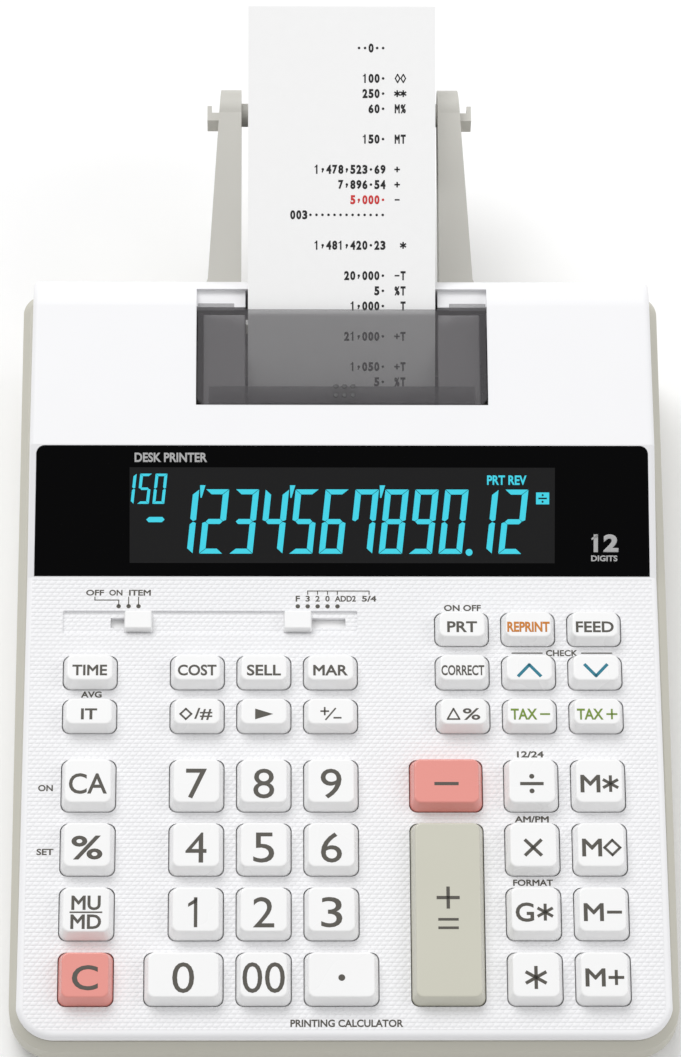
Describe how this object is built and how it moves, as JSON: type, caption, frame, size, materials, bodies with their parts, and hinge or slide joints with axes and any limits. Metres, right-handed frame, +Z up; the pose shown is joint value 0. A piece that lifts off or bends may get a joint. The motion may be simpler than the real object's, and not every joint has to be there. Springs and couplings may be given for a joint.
{
  "type": "printing desk calculator",
  "caption": "Desk calculator with textured key deck, tilted display, slide switches, hinged see-through printer cover and paper roll on rear arms.",
  "frame": {"origin": "bottom centre of the whole object, on the surface it stands on", "axes": "+X to the right as the user sees it, +Y to the back, away from the user, +Z up"},
  "size_m": [0.197, 0.3302, 0.11],
  "materials": {
    "beige_case": "fine-textured warm grey plastic",
    "white_case": "white plastic, fine weave texture on the key deck",
    "black_lens": "gloss black acrylic",
    "display_module": "dark display tube",
    "board": "green circuit board",
    "mat_rubber": "grey silicone rubber",
    "printer_metal": "blackened steel",
    "roller_rubber": "black rubber",
    "ink_pad": "ink-soaked felt",
    "smoked_cover": "see-through smoked plastic",
    "beige_arms": "warm grey plastic",
    "paper": "uncoated white till paper",
    "foot_rubber": "black rubber",
    "white_keys": "satin white plastic with printed legends",
    "pink_keys": "satin pink plastic",
    "beige_key": "satin beige plastic"
  },
  "bodies": {
    "root": {"bottom_case": "beige_case", "circuit_board": "board", "display_panel": "display_module", "display_window": "black_lens", "key_mat": "mat_rubber", "paper_strip": "paper", "printer_mechanism": "printer_metal", "roll_arms": "beige_arms", "rubber_feet": "foot_rubber", "top_case": "white_case"},
    "key_print_on": {"key_print_on": "white_keys"},
    "key_reprint": {"key_reprint": "white_keys"},
    "key_feed": {"key_feed": "white_keys"},
    "key_time": {"key_time": "white_keys"},
    "key_cost": {"key_cost": "white_keys"},
    "key_sell": {"key_sell": "white_keys"},
    "key_margin": {"key_margin": "white_keys"},
    "key_correct": {"key_correct": "white_keys"},
    "key_check_up": {"key_check_up": "white_keys"},
    "key_check_down": {"key_check_down": "white_keys"},
    "key_item_count": {"key_item_count": "white_keys"},
    "key_non_add": {"key_non_add": "white_keys"},
    "key_shift": {"key_shift": "white_keys"},
    "key_sign": {"key_sign": "white_keys"},
    "key_delta_percent": {"key_delta_percent": "white_keys"},
    "key_tax_minus": {"key_tax_minus": "white_keys"},
    "key_tax_plus": {"key_tax_plus": "white_keys"},
    "key_clear_all": {"key_clear_all": "white_keys"},
    "key_7": {"key_7": "white_keys"},
    "key_8": {"key_8": "white_keys"},
    "key_9": {"key_9": "white_keys"},
    "key_divide": {"key_divide": "white_keys"},
    "key_memory_total": {"key_memory_total": "white_keys"},
    "key_percent": {"key_percent": "white_keys"},
    "key_4": {"key_4": "white_keys"},
    "key_5": {"key_5": "white_keys"},
    "key_6": {"key_6": "white_keys"},
    "key_multiply": {"key_multiply": "white_keys"},
    "key_memory_subtotal": {"key_memory_subtotal": "white_keys"},
    "key_markup": {"key_markup": "white_keys"},
    "key_1": {"key_1": "white_keys"},
    "key_2": {"key_2": "white_keys"},
    "key_3": {"key_3": "white_keys"},
    "key_grand_total": {"key_grand_total": "white_keys"},
    "key_memory_minus": {"key_memory_minus": "white_keys"},
    "key_clear": {"key_clear": "pink_keys"},
    "key_double_zero": {"key_double_zero": "white_keys"},
    "key_total": {"key_total": "white_keys"},
    "key_memory_plus": {"key_memory_plus": "white_keys"},
    "key_0": {"key_0": "white_keys"},
    "key_point": {"key_point": "white_keys"},
    "key_minus": {"key_minus": "pink_keys"},
    "key_plus_equals": {"key_plus_equals": "beige_key"},
    "mode_switch": {"mode_switch": "white_keys"},
    "rounding_switch": {"rounding_switch": "white_keys"},
    "printer_cover": {"printer_cover": "smoked_cover"},
    "paper_roll": {"paper_roll": "paper"},
    "feed_roller": {"feed_roller": "roller_rubber"},
    "ink_roller": {"ink_roller": "ink_pad"},
    "battery_cover": {"battery_cover": "beige_case"}
  },
  "joints": [
    {"name": "mode_slide", "type": "slide", "parent": "root", "child": "mode_switch", "axis": [1, 0, 0], "range_m": [-0.006, 0]},
    {"name": "rounding_slide", "type": "slide", "parent": "root", "child": "rounding_switch", "axis": [1, 0, 0], "range_m": [0, 0.012]},
    {"name": "cover_open", "type": "hinge", "parent": "root", "child": "printer_cover", "pos_m": [0, 0.05941, 0.06315], "axis": [-1, 0, 0], "range_deg": [0, 85]},
    {"name": "roll_spin", "type": "hinge", "parent": "root", "child": "paper_roll", "pos_m": [0, 0.14014, 0.052], "axis": [-1, 0, 0], "continuous": true},
    {"name": "feed_spin", "type": "hinge", "parent": "root", "child": "feed_roller", "pos_m": [0, 0.04422, 0.04389], "axis": [-1, 0, 0], "continuous": true},
    {"name": "ink_spin", "type": "hinge", "parent": "root", "child": "ink_roller", "pos_m": [0, 0.029, 0.04737], "axis": [1, 0, 0], "continuous": true},
    {"name": "battery_cover_slide", "type": "slide", "parent": "root", "child": "battery_cover", "axis": [0, 1, 0], "range_m": [0, 0.071]},
    {"name": "press_print_on", "type": "slide", "parent": "root", "child": "key_print_on", "axis": [0, 0.1392, -0.9903], "range_m": [0, 0.0025], "stiffness_N_per_m": 200, "springref_m": -0.0015},
    {"name": "press_reprint", "type": "slide", "parent": "root", "child": "key_reprint", "axis": [0, 0.1392, -0.9903], "range_m": [0, 0.0025], "stiffness_N_per_m": 200, "springref_m": -0.0015},
    {"name": "press_feed", "type": "slide", "parent": "root", "child": "key_feed", "axis": [0, 0.1392, -0.9903], "range_m": [0, 0.0025], "stiffness_N_per_m": 200, "springref_m": -0.0015},
    {"name": "press_time", "type": "slide", "parent": "root", "child": "key_time", "axis": [0, 0.1392, -0.9903], "range_m": [0, 0.0025], "stiffness_N_per_m": 200, "springref_m": -0.0015},
    {"name": "press_cost", "type": "slide", "parent": "root", "child": "key_cost", "axis": [0, 0.1392, -0.9903], "range_m": [0, 0.0025], "stiffness_N_per_m": 200, "springref_m": -0.0015},
    {"name": "press_sell", "type": "slide", "parent": "root", "child": "key_sell", "axis": [0, 0.1392, -0.9903], "range_m": [0, 0.0025], "stiffness_N_per_m": 200, "springref_m": -0.0015},
    {"name": "press_margin", "type": "slide", "parent": "root", "child": "key_margin", "axis": [0, 0.1392, -0.9903], "range_m": [0, 0.0025], "stiffness_N_per_m": 200, "springref_m": -0.0015},
    {"name": "press_correct", "type": "slide", "parent": "root", "child": "key_correct", "axis": [0, 0.1392, -0.9903], "range_m": [0, 0.0025], "stiffness_N_per_m": 200, "springref_m": -0.0015},
    {"name": "press_check_up", "type": "slide", "parent": "root", "child": "key_check_up", "axis": [0, 0.1392, -0.9903], "range_m": [0, 0.0025], "stiffness_N_per_m": 200, "springref_m": -0.0015},
    {"name": "press_check_down", "type": "slide", "parent": "root", "child": "key_check_down", "axis": [0, 0.1392, -0.9903], "range_m": [0, 0.0025], "stiffness_N_per_m": 200, "springref_m": -0.0015},
    {"name": "press_item_count", "type": "slide", "parent": "root", "child": "key_item_count", "axis": [0, 0.1392, -0.9903], "range_m": [0, 0.0025], "stiffness_N_per_m": 200, "springref_m": -0.0015},
    {"name": "press_non_add", "type": "slide", "parent": "root", "child": "key_non_add", "axis": [0, 0.1392, -0.9903], "range_m": [0, 0.0025], "stiffness_N_per_m": 200, "springref_m": -0.0015},
    {"name": "press_shift", "type": "slide", "parent": "root", "child": "key_shift", "axis": [0, 0.1392, -0.9903], "range_m": [0, 0.0025], "stiffness_N_per_m": 200, "springref_m": -0.0015},
    {"name": "press_sign", "type": "slide", "parent": "root", "child": "key_sign", "axis": [0, 0.1392, -0.9903], "range_m": [0, 0.0025], "stiffness_N_per_m": 200, "springref_m": -0.0015},
    {"name": "press_delta_percent", "type": "slide", "parent": "root", "child": "key_delta_percent", "axis": [0, 0.1392, -0.9903], "range_m": [0, 0.0025], "stiffness_N_per_m": 200, "springref_m": -0.0015},
    {"name": "press_tax_minus", "type": "slide", "parent": "root", "child": "key_tax_minus", "axis": [0, 0.1392, -0.9903], "range_m": [0, 0.0025], "stiffness_N_per_m": 200, "springref_m": -0.0015},
    {"name": "press_tax_plus", "type": "slide", "parent": "root", "child": "key_tax_plus", "axis": [0, 0.1392, -0.9903], "range_m": [0, 0.0025], "stiffness_N_per_m": 200, "springref_m": -0.0015},
    {"name": "press_clear_all", "type": "slide", "parent": "root", "child": "key_clear_all", "axis": [0, 0.1392, -0.9903], "range_m": [0, 0.0025], "stiffness_N_per_m": 200, "springref_m": -0.0015},
    {"name": "press_7", "type": "slide", "parent": "root", "child": "key_7", "axis": [0, 0.1392, -0.9903], "range_m": [0, 0.0025], "stiffness_N_per_m": 200, "springref_m": -0.0015},
    {"name": "press_8", "type": "slide", "parent": "root", "child": "key_8", "axis": [0, 0.1392, -0.9903], "range_m": [0, 0.0025], "stiffness_N_per_m": 200, "springref_m": -0.0015},
    {"name": "press_9", "type": "slide", "parent": "root", "child": "key_9", "axis": [0, 0.1392, -0.9903], "range_m": [0, 0.0025], "stiffness_N_per_m": 200, "springref_m": -0.0015},
    {"name": "press_divide", "type": "slide", "parent": "root", "child": "key_divide", "axis": [0, 0.1392, -0.9903], "range_m": [0, 0.0025], "stiffness_N_per_m": 200, "springref_m": -0.0015},
    {"name": "press_memory_total", "type": "slide", "parent": "root", "child": "key_memory_total", "axis": [0, 0.1392, -0.9903], "range_m": [0, 0.0025], "stiffness_N_per_m": 200, "springref_m": -0.0015},
    {"name": "press_percent", "type": "slide", "parent": "root", "child": "key_percent", "axis": [0, 0.1392, -0.9903], "range_m": [0, 0.0025], "stiffness_N_per_m": 200, "springref_m": -0.0015},
    {"name": "press_4", "type": "slide", "parent": "root", "child": "key_4", "axis": [0, 0.1392, -0.9903], "range_m": [0, 0.0025], "stiffness_N_per_m": 200, "springref_m": -0.0015},
    {"name": "press_5", "type": "slide", "parent": "root", "child": "key_5", "axis": [0, 0.1392, -0.9903], "range_m": [0, 0.0025], "stiffness_N_per_m": 200, "springref_m": -0.0015},
    {"name": "press_6", "type": "slide", "parent": "root", "child": "key_6", "axis": [0, 0.1392, -0.9903], "range_m": [0, 0.0025], "stiffness_N_per_m": 200, "springref_m": -0.0015},
    {"name": "press_multiply", "type": "slide", "parent": "root", "child": "key_multiply", "axis": [0, 0.1392, -0.9903], "range_m": [0, 0.0025], "stiffness_N_per_m": 200, "springref_m": -0.0015},
    {"name": "press_memory_subtotal", "type": "slide", "parent": "root", "child": "key_memory_subtotal", "axis": [0, 0.1392, -0.9903], "range_m": [0, 0.0025], "stiffness_N_per_m": 200, "springref_m": -0.0015},
    {"name": "press_markup", "type": "slide", "parent": "root", "child": "key_markup", "axis": [0, 0.1392, -0.9903], "range_m": [0, 0.0025], "stiffness_N_per_m": 200, "springref_m": -0.0015},
    {"name": "press_1", "type": "slide", "parent": "root", "child": "key_1", "axis": [0, 0.1392, -0.9903], "range_m": [0, 0.0025], "stiffness_N_per_m": 200, "springref_m": -0.0015},
    {"name": "press_2", "type": "slide", "parent": "root", "child": "key_2", "axis": [0, 0.1392, -0.9903], "range_m": [0, 0.0025], "stiffness_N_per_m": 200, "springref_m": -0.0015},
    {"name": "press_3", "type": "slide", "parent": "root", "child": "key_3", "axis": [0, 0.1392, -0.9903], "range_m": [0, 0.0025], "stiffness_N_per_m": 200, "springref_m": -0.0015},
    {"name": "press_grand_total", "type": "slide", "parent": "root", "child": "key_grand_total", "axis": [0, 0.1392, -0.9903], "range_m": [0, 0.0025], "stiffness_N_per_m": 200, "springref_m": -0.0015},
    {"name": "press_memory_minus", "type": "slide", "parent": "root", "child": "key_memory_minus", "axis": [0, 0.1392, -0.9903], "range_m": [0, 0.0025], "stiffness_N_per_m": 200, "springref_m": -0.0015},
    {"name": "press_clear", "type": "slide", "parent": "root", "child": "key_clear", "axis": [0, 0.1392, -0.9903], "range_m": [0, 0.0025], "stiffness_N_per_m": 200, "springref_m": -0.0015},
    {"name": "press_double_zero", "type": "slide", "parent": "root", "child": "key_double_zero", "axis": [0, 0.1392, -0.9903], "range_m": [0, 0.0025], "stiffness_N_per_m": 200, "springref_m": -0.0015},
    {"name": "press_total", "type": "slide", "parent": "root", "child": "key_total", "axis": [0, 0.1392, -0.9903], "range_m": [0, 0.0025], "stiffness_N_per_m": 200, "springref_m": -0.0015},
    {"name": "press_memory_plus", "type": "slide", "parent": "root", "child": "key_memory_plus", "axis": [0, 0.1392, -0.9903], "range_m": [0, 0.0025], "stiffness_N_per_m": 200, "springref_m": -0.0015},
    {"name": "press_0", "type": "slide", "parent": "root", "child": "key_0", "axis": [0, 0.1392, -0.9903], "range_m": [0, 0.0025], "stiffness_N_per_m": 200, "springref_m": -0.0015},
    {"name": "press_point", "type": "slide", "parent": "root", "child": "key_point", "axis": [0, 0.1392, -0.9903], "range_m": [0, 0.0025], "stiffness_N_per_m": 200, "springref_m": -0.0015},
    {"name": "press_minus", "type": "slide", "parent": "root", "child": "key_minus", "axis": [0, 0.1392, -0.9903], "range_m": [0, 0.0025], "stiffness_N_per_m": 200, "springref_m": -0.0015},
    {"name": "press_plus_equals", "type": "slide", "parent": "root", "child": "key_plus_equals", "axis": [0, 0.1392, -0.9903], "range_m": [0, 0.0025], "stiffness_N_per_m": 200, "springref_m": -0.0015}
  ],
  "couplings": [
    {"joint": "feed_spin", "follows": "roll_spin", "ratio": 3.125}
  ]
}
